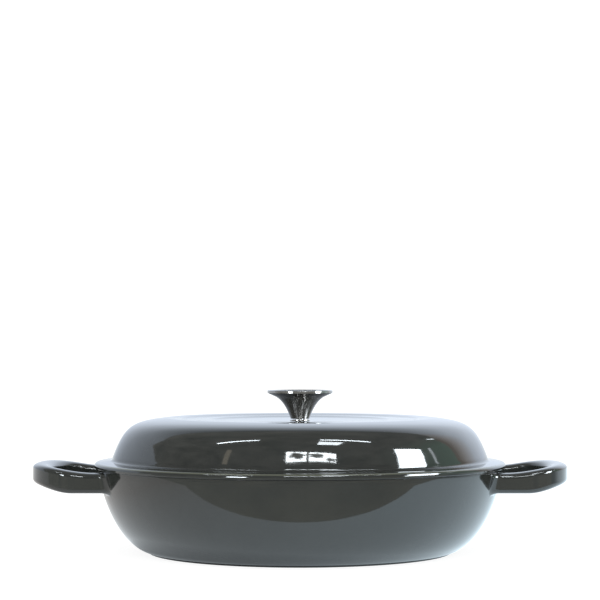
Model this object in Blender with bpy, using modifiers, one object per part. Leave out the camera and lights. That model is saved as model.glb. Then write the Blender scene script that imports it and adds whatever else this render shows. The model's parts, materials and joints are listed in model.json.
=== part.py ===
"""Shallow round casserole: an enamelled cast-iron pan with two loop handles, and its lid with a steel knob.

Metres, +Z up. The pan stands on z = 0, its axis is Z and its handles reach out along X.
The lid, with everything bolted to it, hangs from one empty on that axis, along which it lifts off.
"""

import math

import bmesh
import bpy
from mathutils import Matrix, Vector

# Clearance between pieces that touch on the real pan
GAP = 0.0003

# Pan: one casting
RIM_RADIUS = 0.1536
PAN_HEIGHT = 0.0640
PAN_WALL = 0.0038
PAN_FLOOR = 0.0046
FOOT_RADIUS = 0.1152
FOOT_HEIGHT = 0.0012
FOOT_STEP = 0.0009
BELLY_REACH = 0.0061
BELLY_LIFT = 0.0008
WALL_LEAN = 0.0098
WALL_PULL = 0.0470
RIM_BAND = 0.0040
RIM_ROUND = 0.0016

# Loop handles, cast in one with the pan
HANDLE_WIDTH = 0.1080
HANDLE_BAND = 0.0141
HANDLE_DEPTH = 0.0148
HANDLE_DROP = 0.0018
HANDLE_ROUND = 0.0036
FINGER_GAP = 0.0347
HANDLE_NOSE = 0.0350
NOSE_FULLNESS = 2.3
HANDLE_RISE = 0.0057
RISE_LENGTH = 0.0500
RISE_LAG = 0.0160
ROOT_FILLET = 0.0080

# Lid: one casting, its heights counted from the seat on the pan's rim
FLANGE_OVERHANG = 0.0024
FLANGE_THICKNESS = 0.0036
FLANGE_SLOPE = 0.0016
FLANGE_ROUND = 0.0014
EDGE_ANGLE = 80
FLANGE_FILLET = 0.0030
DOME_SETBACK = 0.0114
DOME_FOOT = 0.0080
SHOULDER_RADIUS = 0.1040
SHOULDER_REACH = 0.0241
SHOULDER_DROP = 0.0025
DOME_LEAN = 0.0086
DOME_PULL = 0.0229
CREST_HEIGHT = 0.0370
CREST_WIDTH = 0.0080
LID_WALL = 0.0037
SKIRT_DEPTH = 0.0052
SKIRT_THICKNESS = 0.0032
SKIRT_PLAY = 0.0018

# Rings turned into the top of the lid, from the crest inwards
RING_STEP = 0.0009
OUTER_RING_RADIUS = 0.0915
INNER_RING_RADIUS = 0.0680
RING_SLOPE = 0.0020
LID_DISH = 0.0008
KNOB_LAND_RADIUS = 0.0130
BOSS_RADIUS = 0.0110
BOSS_HEIGHT = 0.0012

# Knob: spun steel, held by one screw from under the lid
KNOB_HEIGHT = 0.0232
CAP_RADIUS = 0.0249
CAP_BAND = 0.0020
CAP_CROWN = 0.0004
CAP_FLAT_RADIUS = 0.0235
CAP_SHEET = 0.0009
HEM_RADIUS = 0.0198
HEM_LIFT = 0.0023
HEM_GROOVE = 0.0004
KNOB_WAIST_RADIUS = 0.0071
KNOB_SHEET = 0.0011
FLARE_REACH = 0.0068
FLARE_DROP = 0.0030
WAIST_LEAN = 0.0020
WAIST_PULL = 0.0056
COLLAR_RADIUS = 0.0077
COLLAR_HEIGHT = 0.0014
CORE_RADIUS = 0.0050
SCREW_RADIUS = 0.0029
SCREW_HEAD_RADIUS = 0.0056
SCREW_HEAD_HEIGHT = 0.0032
SCREW_HEAD_SIDE = 0.0013
SCREW_BITE = 0.0120
RECESS_WIDTH = 0.0011
RECESS_DEPTH = 0.0018
RECESS_SPAN = 0.0062
WASHER_RADIUS = 0.0080
WASHER_THICKNESS = 0.0012
SPRING_RADIUS = 0.0056
SPRING_THICKNESS = 0.0013
SPRING_PITCH = 0.0003
SPRING_SPLIT = math.radians(14)

# How finely round shapes are stepped
CASTING_STEPS = 64
KNOB_STEPS = 36
SMALL_STEPS = 24
WALL_STEPS = 8
RISE_STEPS = 5
ROUND_STEPS = 2

SEAT_Z = PAN_HEIGHT + GAP
LID_TOP = CREST_HEIGHT - 2 * RING_STEP - LID_DISH
HOLE_RADIUS = SCREW_RADIUS + GAP


def bezier(start, out, into, end, count):
    """Points along a cubic curve, without its first one."""
    points = []
    for step in range(1, count + 1):
        t = step / count
        s = 1 - t
        weights = (s ** 3, 3 * s * s * t, 3 * s * t * t, t ** 3)
        x = sum(w * p[0] for w, p in zip(weights, (start, out, into, end)))
        y = sum(w * p[1] for w, p in zip(weights, (start, out, into, end)))
        points.append((x, y))
    return points


def arc(centre, radius, first, last, count):
    """Points along an arc, its angles in degrees, ends included."""
    points = []
    for step in range(count + 1):
        angle = math.radians(first + (last - first) * step / count)
        points.append((centre[0] + radius * math.cos(angle), centre[1] + radius * math.sin(angle)))
    return points


def offset_inwards(points, distance):
    """The same open curve moved to its right-hand side by a distance, as a casting's inner face is."""
    moved = []
    for index, point in enumerate(points):
        before = points[max(index - 1, 0)]
        after = points[min(index + 1, len(points) - 1)]
        along = Vector((after[0] - before[0], after[1] - before[1])).normalized()
        moved.append((point[0] + along.y * distance, point[1] - along.x * distance))
    return moved


def make_material(name, colour, roughness, metallic):
    material = bpy.data.materials.new(name)
    material.use_nodes = True
    shader = material.node_tree.nodes["Principled BSDF"]
    shader.inputs["Base Color"].default_value = (*colour, 1)
    shader.inputs["Roughness"].default_value = roughness
    shader.inputs["Metallic"].default_value = metallic
    return material


def add_object(name, data, collection, material, parent, height):
    obj = bpy.data.objects.new(name, data)
    collection.objects.link(obj)
    if not data.materials:
        data.materials.append(material)
    obj.parent = parent
    obj.location.z = height
    return obj


def turned(name, profile, collection, material, parent=None, height=0.0, steps=KNOB_STEPS, ring=False):
    """A piece turned about Z. The profile runs down its outer side; a ring's profile closes on itself."""
    count = len(profile)
    edges = [(index, index + 1) for index in range(count - 1)]
    if ring:
        edges.append((count - 1, 0))
    mesh = bpy.data.meshes.new(name)
    mesh.from_pydata([(x, 0, z) for x, z in profile], edges, [])
    obj = add_object(name, mesh, collection, material, parent, height)
    screw = obj.modifiers.new("turn", "SCREW")
    screw.axis = "Z"
    screw.steps = steps
    screw.render_steps = steps
    screw.use_merge_vertices = True
    screw.merge_threshold = 0.00001
    screw.use_smooth_shade = True
    return obj


def boolean(obj, other, operation):
    modifier = obj.modifiers.new(operation.lower(), "BOOLEAN")
    modifier.operation = operation
    modifier.solver = "EXACT"
    modifier.object = other
    other.hide_render = True
    other.display_type = "WIRE"


def pan_wall():
    """The outer wall from just above the foot up to the rim's band."""
    foot = (FOOT_RADIUS + FOOT_STEP, FOOT_HEIGHT)
    top = (RIM_RADIUS, PAN_HEIGHT - RIM_BAND)
    out = (foot[0] + BELLY_REACH, foot[1] + BELLY_LIFT)
    into = (top[0] - WALL_LEAN, top[1] - WALL_PULL)
    return [foot] + bezier(foot, out, into, top, WALL_STEPS)


def pan_blank_profile():
    """The outside of the pan as a solid, before it is hollowed."""
    rim = arc((RIM_RADIUS - RIM_ROUND, PAN_HEIGHT - RIM_ROUND), RIM_ROUND, 90, 0, ROUND_STEPS)
    foot = [(FOOT_RADIUS, FOOT_HEIGHT), (FOOT_RADIUS, 0), (FOOT_RADIUS / 2, 0), (0, 0)]
    return [(0, PAN_HEIGHT)] + rim + pan_wall()[::-1] + foot


def pan_hollow_profile():
    """The space inside the pan, open above the rim, with the rim's inner edge rounded."""
    side = RIM_RADIUS - PAN_WALL
    top = PAN_HEIGHT + RIM_ROUND
    lip = arc((side + RIM_ROUND, PAN_HEIGHT - RIM_ROUND), RIM_ROUND, 90, 180, ROUND_STEPS)
    inner = offset_inwards(pan_wall()[::-2], PAN_WALL)
    wall = [point for point in inner if point[1] > PAN_FLOOR + FOOT_HEIGHT]
    edge = wall[-1]
    floor_edge = edge[0] - 2 * (edge[1] - PAN_FLOOR)
    floor = [(floor_edge, PAN_FLOOR), (floor_edge / 2, PAN_FLOOR), (0, PAN_FLOOR)]
    return [(0, top), (side + RIM_ROUND, top)] + lip + wall + floor


def wall_radius(height):
    """Outer radius of the pan's wall at a height."""
    wall = pan_wall()
    for low, high in zip(wall, wall[1:]):
        if low[1] <= height <= high[1]:
            share = (height - low[1]) / (high[1] - low[1])
            return low[0] + share * (high[0] - low[0])
    return RIM_RADIUS


def handle_outline(root_radius):
    """The loop seen from above, as a band whose two ends reach in through the pan's wall."""
    buried = root_radius - HANDLE_BAND
    inner_end = RIM_RADIUS + FINGER_GAP
    outer_end = inner_end + HANDLE_BAND
    outer_side = HANDLE_WIDTH / 2
    inner_side = outer_side - HANDLE_BAND

    def root(side, turn):
        """The fillet between an arm's side and the wall, from the wall outwards."""
        centre_y = side + turn * ROOT_FILLET
        centre_x = math.sqrt((root_radius + ROOT_FILLET) ** 2 - centre_y ** 2)
        first = math.degrees(math.atan2(-centre_y, -centre_x)) % 360
        last = 270 if turn > 0 else 90
        return arc((centre_x, centre_y), ROOT_FILLET, first, last, ROUND_STEPS + 1)

    def nose(length, side, end):
        """A rounded end, from the arm at +Y round to the middle."""
        points = []
        for step in range(1, WALL_STEPS + 1):
            angle = math.radians(90 - 90 * step / WALL_STEPS)
            x = end - length + length * math.cos(angle) ** (2 / NOSE_FULLNESS)
            y = side * max(math.sin(angle), 0) ** (2 / NOSE_FULLNESS)
            points.append((x, y))
        return points

    outer = root(outer_side, 1)
    outer.append((outer_end - HANDLE_NOSE, outer_side))
    outer += nose(HANDLE_NOSE, outer_side, outer_end)
    inner = root(inner_side, -1)
    inner.append((outer_end - HANDLE_NOSE, inner_side))
    inner += nose(HANDLE_NOSE - HANDLE_BAND, inner_side, inner_end)
    start = math.atan2(inner[0][1], inner[0][0])
    finish = math.atan2(outer[0][1], outer[0][0])
    ends = [(buried * math.cos(angle), buried * math.sin(angle)) for angle in (start, finish)]
    half = inner[::-1] + ends + outer
    mirrored = [(x, -y) for x, y in half[1:-1]]
    return half + mirrored[::-1]


def handle_mesh():
    """The loop that reaches out along +X, lifted towards its nose."""
    top = PAN_HEIGHT - HANDLE_DROP
    middle = top - HANDLE_DEPTH / 2
    outline = handle_outline(wall_radius(top - HANDLE_DEPTH))
    curve = bpy.data.curves.new("loop", "CURVE")
    curve.dimensions = "2D"
    curve.fill_mode = "BOTH"
    curve.extrude = HANDLE_DEPTH / 2 - HANDLE_ROUND
    curve.bevel_depth = HANDLE_ROUND
    curve.bevel_resolution = ROUND_STEPS - 1
    curve.offset = -HANDLE_ROUND
    spline = curve.splines.new("POLY")
    spline.points.add(len(outline) - 1)
    for point, (x, y) in zip(spline.points, outline):
        point.co = (x, y, 0, 1)
    spline.use_cyclic_u = True
    guide = bpy.data.objects.new("loop", curve)
    bpy.context.scene.collection.objects.link(guide)
    bpy.context.view_layer.update()
    mesh = bpy.data.meshes.new_from_object(guide.evaluated_get(bpy.context.evaluated_depsgraph_get()))
    bpy.data.objects.remove(guide)

    outer_end = RIM_RADIUS + FINGER_GAP + HANDLE_BAND
    lift_start = outer_end - RISE_LENGTH
    shape = bmesh.new()
    shape.from_mesh(mesh)
    bmesh.ops.remove_doubles(shape, verts=shape.verts, dist=0.00001)
    for step in range(RISE_STEPS + 1):
        cut = Vector((lift_start + RISE_LENGTH * step / RISE_STEPS, 0, 0))
        everything = shape.verts[:] + shape.edges[:] + shape.faces[:]
        bmesh.ops.bisect_plane(shape, geom=everything, dist=0.00001, plane_co=cut, plane_no=(1, 0, 0))
    for vertex in shape.verts:
        lag = RISE_LAG * (0.5 - vertex.co.z / HANDLE_DEPTH)
        share = (vertex.co.x - lift_start - lag) / (RISE_LENGTH - lag)
        share = min(max(share, 0), 1)
        vertex.co.z += middle + HANDLE_RISE * share * share * (3 - 2 * share)
    shape.to_mesh(mesh)
    shape.free()
    return mesh


def lid_dome():
    """The lid's outer side from the edge of the crest down to the foot of the dome."""
    top = (SHOULDER_RADIUS, CREST_HEIGHT)
    foot = (RIM_RADIUS - DOME_SETBACK, DOME_FOOT)
    out = (top[0] + SHOULDER_REACH, top[1] - SHOULDER_DROP)
    into = (foot[0] - DOME_LEAN, foot[1] + DOME_PULL)
    return [top] + bezier(top, out, into, foot, WALL_STEPS)


def lid_top():
    """The top from the screw hole outwards: a land for the knob, two rings that step up, then the crest."""
    low = LID_TOP
    middle = CREST_HEIGHT - RING_STEP
    return [
        (HOLE_RADIUS, low),
        (KNOB_LAND_RADIUS, low),
        (INNER_RING_RADIUS - RING_SLOPE, low + LID_DISH),
        (INNER_RING_RADIUS, middle),
        (OUTER_RING_RADIUS - RING_SLOPE, middle),
        (OUTER_RING_RADIUS, CREST_HEIGHT),
        (SHOULDER_RADIUS - CREST_WIDTH / 2, CREST_HEIGHT + RING_STEP / 4),
    ]


def lid_profile():
    dome = lid_dome()
    foot = dome[-1]
    flange_radius = RIM_RADIUS + FLANGE_OVERHANG
    flange_top = FLANGE_THICKNESS + FLANGE_SLOPE
    fillet_end = (foot[0] + FLANGE_FILLET, flange_top)
    fillet_out = (foot[0] + FLANGE_FILLET / 3, (foot[1] + flange_top) / 2)
    fillet_in = (foot[0] + FLANGE_FILLET / 2, flange_top)
    fillet = bezier(foot, fillet_out, fillet_in, fillet_end, ROUND_STEPS + 1)
    edge_top = FLANGE_THICKNESS - FLANGE_ROUND
    edge_middle = (flange_radius - FLANGE_ROUND, edge_top)
    edge = arc(edge_middle, FLANGE_ROUND, EDGE_ANGLE, -EDGE_ANGLE, 2 * ROUND_STEPS)
    skirt_radius = RIM_RADIUS - PAN_WALL - SKIRT_PLAY
    skirt_inner = skirt_radius - SKIRT_THICKNESS
    chamfer = SKIRT_THICKNESS / 4
    under = [
        (RIM_RADIUS, 0),
        (skirt_radius, 0),
        (skirt_radius, -SKIRT_DEPTH + chamfer),
        (skirt_radius - chamfer, -SKIRT_DEPTH),
        (skirt_inner + chamfer, -SKIRT_DEPTH),
        (skirt_inner, -SKIRT_DEPTH + chamfer),
    ]
    inside = offset_inwards(dome[::2], LID_WALL)[::-1]
    ceiling = LID_TOP - LID_WALL
    middle = [
        (INNER_RING_RADIUS, CREST_HEIGHT - RING_STEP - LID_WALL),
        (INNER_RING_RADIUS - RING_SLOPE, ceiling + LID_DISH),
        (BOSS_RADIUS + BOSS_HEIGHT, ceiling),
        (BOSS_RADIUS, ceiling - BOSS_HEIGHT),
        (HOLE_RADIUS, ceiling - BOSS_HEIGHT),
    ]
    return lid_top() + dome + fillet + edge + under + inside + middle


def knob_flare():
    """The trumpet's outer side, from the hem of the cap down to the waist, counted from the knob's foot."""
    top = (HEM_RADIUS - HEM_GROOVE, KNOB_HEIGHT - CAP_BAND - HEM_LIFT - HEM_GROOVE / 4)
    waist = (KNOB_WAIST_RADIUS, COLLAR_HEIGHT + 2 * GAP)
    out = (top[0] - FLARE_REACH, top[1] - FLARE_DROP)
    into = (waist[0] + WAIST_LEAN, waist[1] + WAIST_PULL)
    return [top] + bezier(top, out, into, waist, WALL_STEPS)


def knob_body_profile():
    outer = knob_flare()
    inner = offset_inwards(outer, KNOB_SHEET)
    bore = CORE_RADIUS + GAP
    inside = [(max(x, bore), z) for x, z in inner[::-1] if z > outer[-1][1] + KNOB_SHEET]
    return outer + [(bore, outer[-1][1])] + inside


def knob_cap_profile():
    """A pressed disc whose edge turns under to a hem that meets the flare."""
    top = KNOB_HEIGHT
    band_low = top - CAP_BAND
    hem_low = band_low - HEM_LIFT
    slope = math.atan2(HEM_LIFT, CAP_RADIUS - HEM_RADIUS)
    inner_radius = CAP_RADIUS - CAP_SHEET
    ceiling = top - CAP_CROWN - CAP_SHEET
    return [
        (0, top),
        (CAP_FLAT_RADIUS, top),
        (CAP_RADIUS - CAP_CROWN, top - CAP_CROWN / 4),
        (CAP_RADIUS, top - CAP_CROWN),
        (CAP_RADIUS, band_low),
        (HEM_RADIUS, hem_low),
        (HEM_RADIUS - CAP_SHEET * math.sin(slope), hem_low + CAP_SHEET * math.cos(slope)),
        (inner_radius, band_low + CAP_SHEET / 2),
        (inner_radius, ceiling),
        (0, ceiling),
    ]


def knob_core_profile():
    """The threaded slug pressed into the stem; it carries the cap and takes the screw."""
    low = COLLAR_HEIGHT + 2 * GAP
    high = KNOB_HEIGHT - CAP_CROWN - CAP_SHEET - GAP
    return [
        (0, high),
        (CORE_RADIUS, high),
        (CORE_RADIUS, low),
        (HOLE_RADIUS, low),
        (HOLE_RADIUS, low + SCREW_BITE + 2 * GAP),
        (0, low + SCREW_BITE + SCREW_RADIUS),
    ]


def collar_profile():
    edge = COLLAR_HEIGHT / 4
    return [
        (HOLE_RADIUS, COLLAR_HEIGHT),
        (COLLAR_RADIUS - edge, COLLAR_HEIGHT),
        (COLLAR_RADIUS, COLLAR_HEIGHT - edge),
        (COLLAR_RADIUS, edge),
        (COLLAR_RADIUS - edge, 0),
        (HOLE_RADIUS, 0),
    ]


def washer_profile():
    top = WASHER_THICKNESS
    return [(HOLE_RADIUS, top), (WASHER_RADIUS, top), (WASHER_RADIUS, 0), (HOLE_RADIUS, 0)]


def screw_profile(length):
    """A pan-head screw standing on its head, counted from under the head."""
    tip = SCREW_RADIUS / 3
    dome = SCREW_HEAD_HEIGHT - SCREW_HEAD_SIDE
    head = [(SCREW_HEAD_RADIUS, 0)]
    for step in range(2 * ROUND_STEPS + 1):
        angle = math.radians(90 * step / (2 * ROUND_STEPS))
        head.append((SCREW_HEAD_RADIUS * math.cos(angle), -SCREW_HEAD_SIDE - dome * math.sin(angle)))
    shank = [(0, length), (SCREW_RADIUS - tip, length), (SCREW_RADIUS, length - tip), (SCREW_RADIUS, 0)]
    return shank + head


def add_spring_washer(collection, material, parent, height):
    """A split ring of square wire, opened a little along its axis."""
    top = SPRING_THICKNESS
    section = [(HOLE_RADIUS, 0), (SPRING_RADIUS, 0), (SPRING_RADIUS, top), (HOLE_RADIUS, top)]
    ring = bmesh.new()
    face = ring.faces.new([ring.verts.new((x, 0, z)) for x, z in section])
    bmesh.ops.spin(
        ring,
        geom=[face] + face.edges[:] + face.verts[:],
        cent=(0, 0, 0),
        axis=(0, 0, 1),
        dvec=(0, 0, SPRING_PITCH / SMALL_STEPS),
        angle=math.tau - SPRING_SPLIT,
        steps=SMALL_STEPS,
    )
    bmesh.ops.recalc_face_normals(ring, faces=ring.faces)
    mesh = bpy.data.meshes.new("spring_washer")
    ring.to_mesh(mesh)
    ring.free()
    return add_object("spring_washer", mesh, collection, material, parent, height)


def add_recess(screw, collection, material, parent, head_low):
    """A cross recess cut into the screw's head from below."""
    arms = (("recess_x", (RECESS_SPAN, RECESS_WIDTH)), ("recess_y", (RECESS_WIDTH, RECESS_SPAN)))
    for name, size in arms:
        bpy.ops.mesh.primitive_cube_add(size=1)
        cutter = bpy.context.object
        cutter.name = name
        cutter.data.transform(Matrix.Diagonal((*size, 2 * RECESS_DEPTH, 1)))
        cutter.data.materials.append(material)
        cutter.location.z = head_low
        cutter.parent = parent
        for owner in cutter.users_collection:
            owner.objects.unlink(cutter)
        collection.objects.link(cutter)
        boolean(screw, cutter, "DIFFERENCE")


def build():
    for obj in list(bpy.data.objects):
        bpy.data.objects.remove(obj)
    parts = bpy.data.collections.new("casserole")
    cutters = bpy.data.collections.new("shaping solids")
    bpy.context.scene.collection.children.link(parts)
    bpy.context.scene.collection.children.link(cutters)

    enamel = make_material("enamel", (0.012, 0.020, 0.018), 0.08, 0.0)
    steel = make_material("steel", (0.42, 0.42, 0.43), 0.28, 1.0)
    zinc = make_material("zinc", (0.55, 0.56, 0.58), 0.35, 1.0)

    pan = turned("pan", pan_blank_profile(), parts, enamel, steps=CASTING_STEPS)
    loop = handle_mesh()
    for name, turn in (("loop_right", 0), ("loop_left", math.pi)):
        handle = add_object(name, loop, cutters, enamel, None, 0.0)
        handle.rotation_euler.z = turn
        boolean(pan, handle, "UNION")
    hollow = turned("hollow", pan_hollow_profile(), cutters, enamel, steps=CASTING_STEPS)
    boolean(pan, hollow, "DIFFERENCE")

    lift = bpy.data.objects.new("lid_lift", None)
    parts.objects.link(lift)
    lift.location.z = SEAT_Z
    turned("lid", lid_profile(), parts, enamel, lift, 0.0, CASTING_STEPS, ring=True)

    foot = LID_TOP + GAP
    turned("knob_collar", collar_profile(), parts, steel, lift, foot, SMALL_STEPS, ring=True)
    turned("knob_body", knob_body_profile(), parts, steel, lift, foot, ring=True)
    turned("knob_cap", knob_cap_profile(), parts, steel, lift, foot)
    turned("knob_core", knob_core_profile(), parts, zinc, lift, foot, SMALL_STEPS)

    washer_low = LID_TOP - LID_WALL - BOSS_HEIGHT - GAP - WASHER_THICKNESS
    turned("screw_washer", washer_profile(), parts, zinc, lift, washer_low, SMALL_STEPS, ring=True)
    spring_low = washer_low - GAP - SPRING_THICKNESS - SPRING_PITCH
    add_spring_washer(parts, zinc, lift, spring_low)
    seat = spring_low - GAP
    tip = foot + COLLAR_HEIGHT + 2 * GAP + SCREW_BITE
    screw = turned("knob_screw", screw_profile(tip - seat), parts, zinc, lift, seat, SMALL_STEPS)
    add_recess(screw, cutters, zinc, lift, seat - SCREW_HEAD_HEIGHT)


build()
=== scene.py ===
# %% [markdown]
# # A shallow cast-iron casserole in the studio
# The pan and its lid are two castings under dark glossy enamel, and the knob is spun steel.
# This lesson models their fine surfaces round a ready frame that has every size right, then gives each one
# its finish, sets up a small photo studio, and places the camera where the photographer stood.
# Everything is in metres, with Z up. The pan stands on z = 0 and its axis is the Z axis.

# %% Load the frame
import json
import math

import bpy
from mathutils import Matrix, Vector

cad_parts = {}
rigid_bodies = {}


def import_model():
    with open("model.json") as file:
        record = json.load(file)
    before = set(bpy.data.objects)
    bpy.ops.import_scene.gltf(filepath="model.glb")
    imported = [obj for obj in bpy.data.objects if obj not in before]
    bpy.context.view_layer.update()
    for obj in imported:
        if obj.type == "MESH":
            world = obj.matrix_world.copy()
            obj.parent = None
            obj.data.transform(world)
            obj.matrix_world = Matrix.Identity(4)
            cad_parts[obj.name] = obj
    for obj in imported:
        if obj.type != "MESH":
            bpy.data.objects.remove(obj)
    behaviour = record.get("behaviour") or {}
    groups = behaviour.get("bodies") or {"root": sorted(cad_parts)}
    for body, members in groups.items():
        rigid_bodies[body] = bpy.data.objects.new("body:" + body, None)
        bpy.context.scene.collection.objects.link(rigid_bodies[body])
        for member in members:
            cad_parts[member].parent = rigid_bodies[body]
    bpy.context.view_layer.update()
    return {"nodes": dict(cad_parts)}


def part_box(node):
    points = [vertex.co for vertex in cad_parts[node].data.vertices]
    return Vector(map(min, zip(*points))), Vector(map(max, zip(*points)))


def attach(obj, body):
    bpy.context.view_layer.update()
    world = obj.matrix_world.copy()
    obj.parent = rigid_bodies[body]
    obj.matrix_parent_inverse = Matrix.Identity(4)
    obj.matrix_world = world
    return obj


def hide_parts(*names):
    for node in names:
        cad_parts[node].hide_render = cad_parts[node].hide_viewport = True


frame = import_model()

RIM_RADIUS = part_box("pan")[1].y
HANDLE_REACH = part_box("pan")[1].x
FLANGE_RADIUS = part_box("lid")[1].x
print(f"rim {2000 * RIM_RADIUS:.1f} mm across, {2000 * HANDLE_REACH:.1f} mm over the handles")
print("nodes:", ", ".join(sorted(frame["nodes"])))

# %% [markdown]
# ## Drawing a section and turning it
# A pan, a lid and a knob are round, so each is drawn as one half section in the XZ plane and spun once
# round Z, as a potter or a lathe would make it. Spinning beats pushing a sphere about, because every height
# and radius is a number that can be read off the drawing. Sharp corners are swapped for small arcs, because
# cast and enamelled edges are never sharp, and it is the arcs that catch the light. A holding point beside
# each arc keeps the shading of the straight run flat.

# %% Outline helpers
ARC_STEP = math.radians(12)
HOLD = 0.0004
HOLD_ROOM = 3 * HOLD


def curve_points(start, out, into, end, count):
    """Points along a cubic curve, ends included."""
    points = []
    for step in range(count + 1):
        t = step / count
        s = 1 - t
        weights = (s ** 3, 3 * s * s * t, 3 * s * t * t, t ** 3)
        x = sum(w * p[0] for w, p in zip(weights, (start, out, into, end)))
        z = sum(w * p[1] for w, p in zip(weights, (start, out, into, end)))
        points.append((x, z, 0))
    return points


def moved_in(points, distance):
    """The same curve, a wall's thickness to the right of the way it runs."""
    moved = []
    for index, point in enumerate(points):
        before = points[max(index - 1, 0)]
        after = points[min(index + 1, len(points) - 1)]
        along = Vector((after[0] - before[0], after[1] - before[1])).normalized()
        moved.append((point[0] + along.y * distance, point[1] - along.x * distance, 0))
    return moved


def rounded(corners, closed=False):
    """Swap every corner (x, z, radius) for an arc, with a holding point beside it."""
    points = []
    last = len(corners) - 1
    for index, (x, z, radius) in enumerate(corners):
        if radius == 0 or (not closed and index in (0, last)):
            points.append((x, z))
            continue
        corner = Vector((x, z))
        back = Vector(corners[index - 1][:2]) - corner
        ahead = Vector(corners[(index + 1) % len(corners)][:2]) - corner
        half = back.angle(ahead) / 2
        reach = radius / math.tan(half)
        middle = corner + (back.normalized() + ahead.normalized()).normalized() * radius / math.sin(half)
        spoke = corner + back.normalized() * reach - middle
        end = corner + ahead.normalized() * reach - middle
        turn = (math.atan2(end.y, end.x) - math.atan2(spoke.y, spoke.x) + math.pi) % math.tau - math.pi
        steps = max(2, math.ceil(abs(turn) / ARC_STEP))
        if back.length > reach + HOLD_ROOM:
            points.append(tuple(corner + back.normalized() * (reach + HOLD)))
        for step in range(steps + 1):
            angle = math.atan2(spoke.y, spoke.x) + turn * step / steps
            points.append((middle.x + radius * math.cos(angle), middle.y + radius * math.sin(angle)))
        if ahead.length > reach + HOLD_ROOM:
            points.append(tuple(corner + ahead.normalized() * (reach + HOLD)))
    return points


print(f"arcs: a point at least every {math.degrees(ARC_STEP):.0f} degrees")

# %% Turning helper
TURN_STEPS = 256
MERGE = 0.000002
SMOOTH_ANGLE = math.radians(38)


def deselect():
    if bpy.context.mode != "OBJECT":
        bpy.ops.object.mode_set(mode="OBJECT")
    bpy.ops.object.select_all(action="DESELECT")


def polyline(places, closed):
    """A curve that runs straight from place to place."""
    deselect()
    bpy.ops.curve.primitive_nurbs_path_add()
    line = bpy.context.object
    line.data.splines.clear()
    spline = line.data.splines.new("POLY")
    spline.points.add(len(places) - 1)
    for point, place in zip(spline.points, places):
        point.co = (*place, 1)
    spline.use_cyclic_u = closed
    return line


def turned(name, outline, closed=False, steps=TURN_STEPS):
    """Draw the outline as a curve, make it a mesh, and spin it once round Z."""
    piece = polyline([(x, 0, z) for x, z in outline], closed)
    piece.name = name
    bpy.ops.object.convert(target="MESH")
    piece.data.name = name
    bpy.ops.object.mode_set(mode="EDIT")
    bpy.ops.mesh.select_all(action="SELECT")
    bpy.ops.mesh.spin(steps=steps, angle=math.tau, center=(0, 0, 0), axis=(0, 0, 1))
    bpy.ops.mesh.select_all(action="SELECT")
    bpy.ops.mesh.remove_doubles(threshold=MERGE)
    bpy.ops.mesh.normals_make_consistent(inside=False)
    bpy.ops.object.mode_set(mode="OBJECT")
    smooth(piece)
    return piece


def smooth(piece):
    deselect()
    piece.select_set(True)
    bpy.context.view_layer.objects.active = piece
    bpy.ops.object.shade_smooth_by_angle(angle=SMOOTH_ANGLE)


def coat_faces(piece, slot, chosen):
    """Give another finish to the faces chosen by radius, height, and how far they look outwards and up."""
    count = 0
    for face in piece.data.polygons:
        middle = face.center
        radius = math.hypot(middle.x, middle.y)
        outward = (face.normal.x * middle.x + face.normal.y * middle.y) / max(radius, MERGE)
        if chosen(radius, middle.z, outward, face.normal.z):
            face.material_index = slot
            count += 1
    return count


print("turning:", TURN_STEPS, "steps round the axis, unless a piece asks for another number")

# %% [markdown]
# ## Finishes
# Enamel is coloured glass fused to iron. It is smooth, but never quite flat: it ripples a little like
# orange peel, it is cloudy in tone, and it is thinner and browner where it is drawn off an edge. So its
# colour, roughness and bump all come from noise in Object coordinates, at the sizes that the real one shows.
# Pointiness tells edges from flats, which saves painting a mask by hand. The lid's flange is too softly
# rounded for that, so its drawn-off line is found by its place on the section instead. That pale line is
# thinner enamel, and a painted highlight as well.

# %% Node helpers
COLOUR_A, COLOUR_B, COLOUR_RESULT = 6, 7, 2
NOISE_RANGE = (0.3, 0.7)


def finish_nodes(name):
    material = bpy.data.materials.new(name)
    material.use_nodes = True
    return material, material.node_tree, material.node_tree.nodes["Principled BSDF"]


def add_node(tree, kind, settings=None, **sockets):
    """Add a node, and set its settings and the values of its sockets."""
    node = tree.nodes.new(kind)
    for key, value in (settings or {}).items():
        setattr(node, key, value)
    for key, value in sockets.items():
        node.inputs[key].default_value = value
    return node


def linked(tree, node, values):
    """Fill a node's first sockets with other nodes' outputs, numbers or vectors."""
    for socket, value in zip(node.inputs, values):
        if isinstance(value, bpy.types.NodeSocket):
            tree.links.new(value, socket)
        else:
            socket.default_value = value
    return node


def number(tree, operation, *values):
    """A sum, product or the like of numbers."""
    node = add_node(tree, "ShaderNodeMath", {"operation": operation})
    return linked(tree, node, values).outputs["Value"]


def vector_node(tree, operation, *values):
    return linked(tree, add_node(tree, "ShaderNodeVectorMath", {"operation": operation}), values)


def object_place(tree):
    return add_node(tree, "ShaderNodeTexCoord").outputs["Object"]


def split(tree, place):
    """The three numbers of a place: X, Y and Z."""
    return linked(tree, add_node(tree, "ShaderNodeSeparateXYZ"), (place,)).outputs


def noise(tree, vector, scale, detail=3.0, rough=0.5):
    texture = add_node(tree, "ShaderNodeTexNoise", Scale=scale, Detail=detail, Roughness=rough)
    tree.links.new(vector, texture.inputs["Vector"])
    return texture.outputs["Fac"]


def spread(tree, value, low, high, to_low, to_high):
    """Map a value from one range onto another, and hold it at the ends."""
    node = add_node(tree, "ShaderNodeMapRange")
    tree.links.new(value, node.inputs["Value"])
    for socket, limit in zip(("From Min", "From Max", "To Min", "To Max"), (low, high, to_low, to_high)):
        node.inputs[socket].default_value = limit
    return node.outputs["Result"]


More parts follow.
